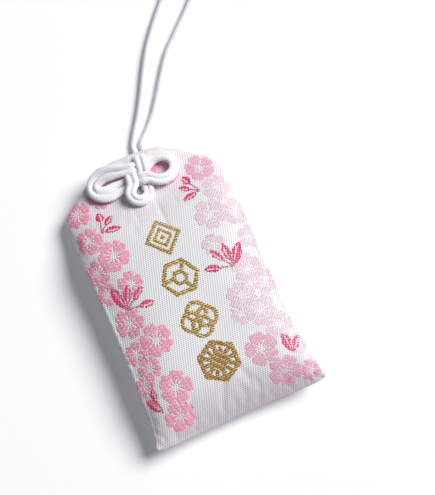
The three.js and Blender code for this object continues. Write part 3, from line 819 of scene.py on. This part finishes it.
# Sprigs: angle, stem, length and width of each leaf
BUDS = ((77, 3.2, 3.2, 2.3), (45, 2.2, 3.6, 1.9), (-5, 0.7, 4.5, 2.0))
FAN = ((106, 0.3, 6.6, 2.8), (66, 1.2, 5.4, 2.3), (34, 2.6, 4.7, 1.9), (-6, 3.0, 4.5, 2.0))
SHOOT = ((96, 0.2, 5.4, 2.5), (45, 0.2, 4.8, 2.4))
LOW_SHOOT = ((125, 0.2, 5.4, 2.2), (97, 2.6, 3.9, 1.9))
# Places of the sprigs: x, y, leaves, turn in degrees, mirrored
SPRIGS = [
    (-14.5, 18.6, BUDS, 0, False), (-16.3, -2.2, FAN, 0, False), (-18.2, -28.9, LOW_SHOOT, 0, False),
    (12.7, 19.9, BUDS, -12, True), (12.6, -2.1, FAN, 20, True), (17.3, -28.0, SHOOT, 0, False),
]
GOLD_FIGURES = [
    (lozenge, -0.8, 11.5, GOLD), (tortoise, -0.9, 0.2, GOLD), (circles, -0.7, -11.4, GOLD),
    (hemp_star, -0.4, -22.9, BRONZE),
]

# How each yarn floats: its weft lines, its size, the warp threads between bindings, their shift per line
FINE = dict(every=1, first=0, width=0.27)
GILT = dict(every=2, first=0, width=0.35, height=0.2, period=16, shift=5)
YARNS = {
    PINK: dict(FINE, name="pink_weft", height=0.09, period=26, shift=9),
    ROSE: dict(FINE, name="rose_weft", height=0.1, period=8, shift=5),
    PALE: dict(FINE, name="pale_weft", height=0.09, period=6, shift=4),
    CRIMSON: dict(FINE, name="crimson_weft", height=0.13, period=12, shift=5),
    DEEP: dict(FINE, name="deep_weft", height=0.1, period=5, shift=2),
    GOLD: dict(GILT, name="gold_weft"),
    BRONZE: dict(GILT, name="bronze_weft"),
    BROWN: dict(name="brown_weft", every=2, first=1, width=0.3, height=0.05, period=12, shift=3),
}


def crossings(draft, yarn):
    """Where a yarn shows. The brown floats lie on the weft lines between the gold ones, as dark lines
    between the gold bars.
    """
    return np.isin(draft.yarn, (GOLD, BRONZE) if yarn == BROWN else (yarn,))


def drawn_panel(cloth, left, right, figures):
    """A panel's draft: garlands down both sides, each in its own pink, and figures down the middle. The
    paler pink on the front's right is partly the yarn and partly painted light, where that side faces the
    lamp.
    """
    draft = Draft(cloth)
    for yarn, flowers in ((left, LEFT_FLOWERS), (right, RIGHT_FLOWERS), (ROSE, END_FLOWERS)):
        for x, y, radius, turn in flowers:
            draft.paint(flower, x, y, yarn, radius=radius * FLOWER_SIZE, turn=math.radians(turn))
    for x, y, leaves, turn, mirrored in SPRIGS:
        draft.paint(sprig, x, y, CRIMSON, DEEP, leaves=leaves, turn=math.radians(turn), mirrored=mirrored)
    for figure, x, y, yarn in figures:
        draft.paint(figure, x, y, yarn)
    return draft


def runs(line, period, offset):
    """Stretches of set crossings, cut at each binding point."""
    bound = np.mod(np.arange(len(line)) + offset, period) == 0
    state = np.concatenate([[False], line & ~bound, [False]])
    change = np.flatnonzero(state[1:] != state[:-1])
    return zip(change[::2], change[1::2])


# A thread's section: across it in widths, and up from the cloth in heights
SECTION = np.array([(-0.5, -0.5), (-0.46, 0.45), (0.0, 1.0), (0.46, 0.45), (0.5, -0.5)])


def float_points(cloth_row, up, start, end, width, height):
    """One thread floating over the cloth from start to end, sunk into it at both ends."""
    across, points, normals = cloth_row
    count = max(3, int((end - start) / FLOAT_STEP) + 2)
    t = np.linspace(0, 1, count)
    a = lerp(start, end, t)
    centre = read_off(a, across, points)
    normal = unit(read_off(a, across, normals))
    arch = np.sin(math.pi * np.clip(t, FLOAT_SINK, 1 - FLOAT_SINK)) ** 0.5
    rise = SECTION[:, 1][None, :] * height * arch[:, None]
    side = SECTION[:, 0][None, :] * width * lerp(FLOAT_END_WIDTH, 1, arch[:, None])
    return centre[:, None] + normal[:, None] * rise[..., None] + up * side[..., None]


def weave(draft, yarn, material, name):
    """All floats of one yarn on a panel, as one piece of separate closed threads."""
    rule = YARNS[yarn]
    vertices, faces = [], []
    total = 0
    shown = crossings(draft, yarn)
    sides = len(SECTION)
    for index in range(rule["first"], len(draft.b), rule["every"]):
        line = shown[index]
        if not line.any():
            continue
        row = draft.cloth.row(draft.b[index])
        ahead = draft.cloth.row(draft.b[index] + PICK)
        middle = len(row[1]) // 2
        up = unit(ahead[1][middle] - row[1][middle])
        for first, last in runs(line, rule["period"], rule["shift"] * (index // rule["every"])):
            if last - first < SHORTEST_FLOAT:
                continue
            start, end = draft.a[first] - END / 2, draft.a[last - 1] + END / 2
            rings = float_points(row, up, start, end, rule["width"], rule["height"])
            faces += tube_faces(len(rings), sides, total)
            vertices.append(rings.reshape(-1, 3))
            total += len(rings) * sides
    mesh_object(name, np.concatenate(vertices), faces, material, "pouch")


# Cord


def between(a, b, start, end, t):
    """On the way from a to b, for t from start to end."""
    return (end - t) / (end - start) * a + (t - start) / (end - start) * b


def smooth_path(points):
    """A smooth line through the points in steps of equal length, and the length at each step."""
    p = np.asarray(points, float)
    p = np.concatenate([[2 * p[0] - p[1]], p, [2 * p[-1] - p[-2]]])
    knots = lengths_along(p, 0.5)
    line = []
    for i in range(1, len(p) - 2):
        k0, k1, k2, k3 = knots[i - 1 : i + 3]
        t = np.linspace(k1, k2, SPAN_STEPS, endpoint=False)[:, None]
        a1 = between(p[i - 1], p[i], k0, k1, t)
        a2 = between(p[i], p[i + 1], k1, k2, t)
        a3 = between(p[i + 1], p[i + 2], k2, k3, t)
        b1 = between(a1, a2, k0, k2, t)
        b2 = between(a2, a3, k1, k3, t)
        line.append(between(b1, b2, k1, k2, t))
    line = np.concatenate([*line, p[-2:-1]])
    length = lengths_along(line)
    places = np.linspace(0, length[-1], int(length[-1] / CORD_STEP) + 1)
    return read_off(places, length, line), places


def carried_frames(line):
    """Directions square to a line, carried along it without twist."""
    tangent = unit(np.gradient(line, axis=0))
    normal = np.zeros_like(line)
    square = np.array([0.0, 0.0, 1.0])
    for i, along in enumerate(tangent):
        square = unit(square - along * square.dot(along))
        normal[i] = square
    return normal, np.cross(tangent, normal)


def ring_directions(line, sides):
    """Directions all round a line, at each of its points."""
    normal, side = carried_frames(line)
    angle = 2 * math.pi * np.arange(sides) / sides
    return np.cos(angle)[:, None] * normal[:, None] + np.sin(angle)[:, None] * side[:, None]


def yarn_back(off):
    return np.sqrt(1 - (YARN_ROUND * off) ** 2)


def braid(turn, along):
    """A braid's surface by turn round the cord and length along it: its height, and how far into a pit each
    place lies, which the cord's material paints as shade; both 0 to 1.
    """
    first = BRAID_YARNS * turn + along / BRAID_PITCH
    second = BRAID_YARNS * turn - along / BRAID_PITCH
    off_first = first - np.round(first)
    off_second = second - np.round(second)
    over = np.cos(math.pi * (np.round(first) + np.round(second)))
    height_first = yarn_back(off_first) + YARN_CROSSING * np.cos(math.pi * off_second) * over
    height_second = yarn_back(off_second) - YARN_CROSSING * np.cos(math.pi * off_first) * over
    pit_shade = 4 * np.abs(off_first * off_second)
    return np.maximum(height_first, height_second) / (1 + YARN_CROSSING), pit_shade


def braided_cord(name, points, material, body, widen=None):
    """A round braided cord along a smooth path. widen gives the strand's width and height at each place."""
    line, places = smooth_path(points)
    turn = np.arange(CORD_SIDES) / CORD_SIDES
    height, pit_shade = braid(turn[None, :], places[:, None])
    radius = CORD / 2 + BRAID_RELIEF * (height - BRAID_MIDDLE)
    offset = ring_directions(line, CORD_SIDES) * radius[..., None]
    if widen is not None:
        wide, tall = widen(line)
        offset[..., :2] *= wide[:, None, None]
        offset[..., 2] *= tall[:, None]
    rings = (line[:, None] + offset).reshape(-1, 3)
    piece = mesh_object(name, rings, tube_faces(len(line), CORD_SIDES), material, body)
    # how far each place lies in a pit, kept for the cord's material to paint as shade
    layer = piece.data.attributes.new("pit_shade", "FLOAT", "POINT")
    layer.data.foreach_set("value", pit_shade.ravel().astype(np.float32))
    return piece, line


# Knot


def knot_plan(x, y):
    return KNOT_CENTRE + np.array(rotated(x, y, -KNOT_TURN))


def on_front(x, y, z):
    """A point of the knot, z above or below its middle layer, which follows the cloth under it."""
    plan = knot_plan(x, y)
    fall = lerp(1, front_swell(plan[0] / half_width(plan[1])), KNOT_DROOP)
    cloth = float(seam_height(0, plan[1]) + front_crown(0, plan[1]) * fall)
    return (*plan, cloth + KNOT_LIFT + z)


def under_neck(x, y):
    return (*knot_plan(x, y), LOOP_HEIGHT)


def across_strand(y, xs):
    return [on_front(x, y, -math.copysign(WEAVE_HEIGHT, x * y)) for x in xs]


def down_strand(x, ys):
    return [on_front(x, y, math.copysign(WEAVE_HEIGHT, x * y)) for y in ys]


ACROSS = (-STRAND_OUTER, -STRAND_INNER, STRAND_INNER, STRAND_OUTER)
BACK_ACROSS = ACROSS[::-1]


def ear_turn(ear, track, downwards):
    """One turn of cord round an ear, from the knot's upper strand to its lower strand or back."""
    ends = np.linspace(1, -1, TURN_POINTS) if downwards else np.linspace(-1, 1, TURN_POINTS)
    points = []
    for t in ends:
        angle = EAR_OPEN_ANGLE * t
        out = (1 + math.cos(angle)) / 2
        x = ear["reach"] + (ear["length"] + track * ear["along"]) * math.cos(angle)
        y = (ear["height"] + track * ear["across"]) * math.sin(angle) + ear["drop"] * out
        lift = (ear["lift"] + track * ear["stack"]) * out
        points.append(on_front(ear["side"] * x, y, lift - ear["side"] * t * WEAVE_HEIGHT * (1 - out)))
    return points


def ears_path():
    """Two turns through both ears, the second outside the first. The ends tuck under the left pair."""
    shift = [
        on_front(-STRAND_OUTER, -STRAND_INNER, -WEAVE_HEIGHT),
        on_front(-STRAND_INNER - STRAND_PITCH / 3, -STRAND_INNER - STRAND_PITCH / 2, -WEAVE_HEIGHT),
        on_front(-STRAND_INNER / 2, -STRAND_OUTER, -WEAVE_HEIGHT / 2),
        *across_strand(-STRAND_OUTER, ACROSS[2:]),
    ]
    return [
        on_front(0, -STRAND_INNER, 0),
        *across_strand(-STRAND_INNER, ACROSS[2:]),
        *ear_turn(RIGHT_EAR, 0, False),
        *across_strand(STRAND_INNER, BACK_ACROSS),
        *ear_turn(LEFT_EAR, 0, True),
        *shift,
        *ear_turn(RIGHT_EAR, 1, False),
        *across_strand(STRAND_OUTER, BACK_ACROSS),
        *ear_turn(LEFT_EAR, 1, True),
        on_front(-STRAND_OUTER - CORD / 2, -STRAND_OUTER, -WEAVE_HEIGHT),
    ]


def lower_turn(track):
    offset = track * LOWER_PITCH
    points = []
    for t in np.linspace(0, 1, TURN_POINTS):
        angle = math.pi * (1 + t)
        x = LOWER_SHIFT + (LOWER_WIDTH + offset) * math.cos(angle)
        y = -LOWER_REACH + (LOWER_HEIGHT + offset) * math.sin(angle)
        lift = (1 - 2 * t) * WEAVE_HEIGHT + track * LOWER_STACK * math.sin(math.pi * t)
        points.append(on_front(x, y, lift))
    return points


def rise_from_slot(x):
    y = STRAND_OUTER + CORD / 2
    return [on_front(x, y, -SLOT_DEPTH), on_front(x, y, -SLOT_RISE)]


def drop_into_slot(x):
    return [
        on_front(x, SLOT_REACH - CORD / 2, SLOT_CREST),
        on_front(x, SLOT_REACH, -WEAVE_HEIGHT),
        on_front(x, SLOT_REACH, -SLOT_DEPTH),
    ]


def loop_leg(end, back):
    return (end[0], MOUTH_Y + end[1] - back, LOOP_HEIGHT)


def lower_winding(x, track):
    """Up from the slot, down round the lower loop, and back into the slot on the other side."""
    return [
        *rise_from_slot(-x),
        *down_strand(-x, BACK_ACROSS),
        *lower_turn(track),
        *down_strand(x, ACROSS),
        *drop_into_slot(x),
    ]


def lower_path():
    """Two windings of the lower loop, joined under the neck, where both ends are led out."""
    turn_in = SLOT_REACH - CORD
    return [
        loop_leg(LOOP_ROUTE[0], 0),
        loop_leg(LOOP_ROUTE[0], CORD),
        under_neck(-STRAND_INNER / 2, SLOT_REACH + CORD / 2),
        *lower_winding(STRAND_INNER, 0),
        under_neck(STRAND_INNER, turn_in),
        under_neck(0, turn_in - CORD / 2),
        under_neck(-STRAND_INNER, turn_in - CORD / 2),
        under_neck(-STRAND_OUTER, turn_in),
        *lower_winding(STRAND_OUTER, 1),
        under_neck(STRAND_OUTER, SLOT_REACH + CORD),
        loop_leg(LOOP_ROUTE[-1], CORD),
        loop_leg(LOOP_ROUTE[-1], 0),
    ]


def splay(line):
    """Width and height of the knot's strands at each place, as shares of the cord's thickness."""
    tangent = unit(np.gradient(line, axis=0))
    past_start = KNOT_CENTRE[0] - EAR_FLAT_START - line[:, 0]
    left = ease(past_start / EAR_FLAT_REACH) * tangent[:, 0] ** 2
    return 1 + STRAND_FLATNESS + EAR_WIDENING * left, 1 - STRAND_FLATNESS - EAR_THINNING * left


def make_knot(material):
    ears, _ = braided_cord("ears_cord", ears_path(), material, "knot", splay)
    lower, _ = braided_cord("lower_cord", lower_path(), material, "knot", splay)
    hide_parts("knot_ears")
    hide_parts("knot_lower_loop")


def make_loop(material):
    route = [(x, MOUTH_Y + y, LOOP_HEIGHT) for x, y in LOOP_ROUTE]
    piece, line = braided_cord("loop_cord", route, material, None)
    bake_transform(piece)
    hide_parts("hanging_loop")


# Filling


def pad_faces(rows, columns):
    """Faces of a closed pad: its top, its bottom and the strip that joins their borders."""
    count = rows * columns
    faces = grid_faces(rows, columns).tolist() + grid_faces(rows, columns, count)[:, ::-1].tolist()
    at = np.arange(count).reshape(rows, columns)
    border = np.concatenate([at[0, :-1], at[:-1, -1], at[-1, :0:-1], at[:0:-1, 0]])
    after = np.roll(border, -1)
    return faces + np.stack([after, border, border + count, after + count], axis=-1).tolist()


def make_wadding(material):
    """The cotton pad under the front: domed, with soft lumps and a rounded rim."""
    low, high = (np.array(corner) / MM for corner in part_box("front_wadding"))
    u, v = np.meshgrid(np.linspace(-1, 1, WADDING_COLUMNS), np.linspace(-1, 1, WADDING_ROWS))
    x = lerp(low[0], high[0], (u + 1) / 2)
    y = lerp(low[1], high[1], (v + 1) / 2)
    rim = ((1 - np.abs(u) ** WADDING_RIM_POWER) * (1 - np.abs(v) ** WADDING_RIM_POWER)) ** 0.5
    s = x / half_width(y)
    inside = seam_height(s, y) + front_rise(s, y) - UNDER_CLOTH
    lumps = WADDING_LUMPS * np.sin(1.3 * x + 0.4 * y) * np.sin(1.1 * y - 0.3 * x)
    middle = low[2] + WADDING_RIM_HEIGHT
    top = np.stack([x, y, lerp(middle, inside + lumps, rim)], axis=-1)
    bottom = np.stack([x, y, lerp(middle, low[2], rim)], axis=-1)
    points = np.concatenate([top.reshape(-1, 3), bottom.reshape(-1, 3)])
    faces = pad_faces(WADDING_ROWS, WADDING_COLUMNS)
    piece = mesh_object("wadding_pad", points, faces, material, "pouch")
    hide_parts("front_wadding")


def make_seam(front, material):
    """The sewing thread, in running stitches along the seam between the two layers of cloth."""
    edge = np.concatenate([front[::-1, 0], front[0, 1:-1], front[:, -1]])
    length = lengths_along(edge)
    ahead = unit(np.gradient(edge[:, :2], axis=0))
    line = edge.copy()
    line[:, :2] += np.stack([-ahead[:, 1], ahead[:, 0]], axis=-1) * SEAM_INSET
    line[:, 2] += SEWING_THREAD / 2 * np.sin(2 * math.pi * length / STITCH)
    rings = (line[:, None] + ring_directions(line, THREAD_SIDES) * SEWING_THREAD / 2).reshape(-1, 3)
    faces = tube_faces(len(line), THREAD_SIDES)
    piece = mesh_object("seam_stitches", rings, faces, material, "pouch")
    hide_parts("seam_thread")


def dress_filling():
    """The pieces inside keep their solid's shape and get a finish."""
    board = inner_material("grey_board", (0.5, 0.42, 0.31), (0.64, 0.55, 0.42), 900)
    paper = inner_material("white_paper", (0.82, 0.8, 0.74), (0.9, 0.88, 0.83), 1400)
    wood = inner_material("pale_wood", (0.62, 0.45, 0.26), (0.78, 0.62, 0.41), 260, (9, 0.6, 9), 0.6)
    finishes = {"stiffener_card": board, "paper_wrapper": paper, "talisman_slip": wood}
    for node, material in finishes.items():
        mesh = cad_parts[node].data
        mesh.materials.clear()
        mesh.materials.append(material)


# Pouch


def yarn_materials():
    return {
        PINK: yarn_material("pink_yarn", (0.9, 0.31, 0.46), (0.99, 0.49, 0.62)),
        ROSE: yarn_material("rose_yarn", (0.78, 0.33, 0.49), (0.92, 0.51, 0.63)),
        # paler pink: partly the yarn's own colour, partly painted light for the front's right side, which
        # faces the lamp
        PALE: yarn_material("pale_yarn", (0.8, 0.55, 0.66), (0.92, 0.74, 0.81)),
        CRIMSON: yarn_material("crimson_yarn", (0.64, 0.005, 0.1), (0.86, 0.025, 0.2)),
        DEEP: yarn_material("deep_yarn", (0.4, 0.005, 0.07), (0.56, 0.015, 0.12)),
        GOLD: yarn_material("gold_yarn", (0.56, 0.38, 0.09), (0.84, 0.64, 0.24), 0.4, 0.3),
        BRONZE: yarn_material("bronze_yarn", (0.46, 0.25, 0.07), (0.76, 0.49, 0.18), 0.4, 0.3),
        BROWN: yarn_material("brown_yarn", (0.14, 0.08, 0.03), (0.26, 0.16, 0.06)),
    }


def make_pouch():
    ground = brocade_material()
    yarns = yarn_materials()
    thread = inner_material("sewing_thread", (0.78, 0.7, 0.74), (0.88, 0.82, 0.85), 2500, roughness=0.6)
    front, back = pouch_grids()
    panel_piece("front_cloth", front, 1, "front_panel", ground)
    panel_piece("back_cloth", back, -1, "back_panel", ground)
    make_seam(front, thread)
    drafts = {
        "front": drawn_panel(Cloth(front, 1), PINK, PALE, GOLD_FIGURES),
        "back": drawn_panel(Cloth(back, -1), PALE, PINK, []),
    }
    for side, draft in drafts.items():
        for yarn, rule in YARNS.items():
            if crossings(draft, yarn).any():
                weave(draft, yarn, yarns[yarn], f"{side}_{rule['name']}")


# Stage


def make_camera():
    ahead = Vector((math.cos(CAMERA_HEADING), math.sin(CAMERA_HEADING), 0))
    right = Vector((math.sin(CAMERA_HEADING), -math.cos(CAMERA_HEADING), 0))
    up = ahead * math.cos(CAMERA_TILT) + Vector((0, 0, 1)) * math.sin(CAMERA_TILT)
    back = right.cross(up)
    place = (right * CAMERA_AIM[0] + up * CAMERA_AIM[1] + back * CAMERA_DISTANCE) * MM
    data = bpy.data.cameras.new("photo_camera")
    data.sensor_fit = "HORIZONTAL"
    data.sensor_width = SENSOR_WIDTH
    data.lens = SENSOR_WIDTH * PIXELS_PER_MM * CAMERA_DISTANCE / PHOTO_WIDTH
    data.clip_start = 10 * MM
    camera = bpy.data.objects.new("photo_camera", data)
    camera.matrix_world = Matrix.Translation(place) @ Matrix((right, up, back)).transposed().to_4x4()
    bpy.context.scene.collection.objects.link(camera)
    bpy.context.scene.camera = camera
    return right, ahead


def make_floor():
    bpy.ops.mesh.primitive_plane_add(size=4, location=(0, 0, TABLE_LEVEL * MM))
    floor = bpy.context.object
    floor.name = "floor"
    nodes = new_material("white_table")
    nodes.set(Base_Color=(0.99, 0.99, 0.99, 1), Roughness=0.9, Specular_IOR_Level=0.0)
    nodes.set(Emission_Color=(*WHITE, 1))
    nodes.link(nodes.math("MULTIPLY", nodes.seen_directly(), TABLE_GLOW), "Emission Strength")
    floor.data.materials.append(nodes.owner)


def make_surroundings():
    """White where it is seen directly, a weak fill for everything else."""
    world = bpy.data.worlds.new("studio")
    bpy.context.scene.world = world
    nodes = Nodes(world, "Background")
    nodes.set(Color=(0.76, 0.83, 1.0, 1), Strength=0.12)
    fill = nodes.shader.outputs[0]
    white = nodes.add("Background").outputs[0]
    mix = nodes.add("MixShader", {0: nodes.seen_directly(), 1: fill, 2: white})
    nodes.tree.links.new(mix.outputs[0], nodes.tree.nodes["World Output"].inputs["Surface"])


def make_key(right, ahead):
    key = bpy.data.lights.new("key", "AREA")
    key.shape = "DISK"
    key.size = 2.5
    key.energy = 196
    key.color = (1.0, 0.99, 0.98)
    lamp = bpy.data.objects.new("key", key)
    across, onwards, upwards = KEY_DIRECTION
    direction = (right * across + ahead * onwards + Vector((0, 0, 1)) * upwards).normalized()
    lamp.location = direction * KEY_DISTANCE
    lamp.rotation_euler = direction.to_track_quat("Z", "Y").to_euler()
    bpy.context.scene.collection.objects.link(lamp)


def main():
    scene = bpy.context.scene
    scene.view_settings.view_transform = "Standard"
    right, ahead = make_camera()
    make_surroundings()
    make_key(right, ahead)
    make_floor()
    cord = cord_material()
    make_loop(cord)
    make_knot(cord)
    make_pouch()
    cotton = inner_material("cotton_wadding", (0.8, 0.79, 0.75), (0.92, 0.91, 0.88), 700, roughness=0.95)
    make_wadding(cotton)
    dress_filling()


main()
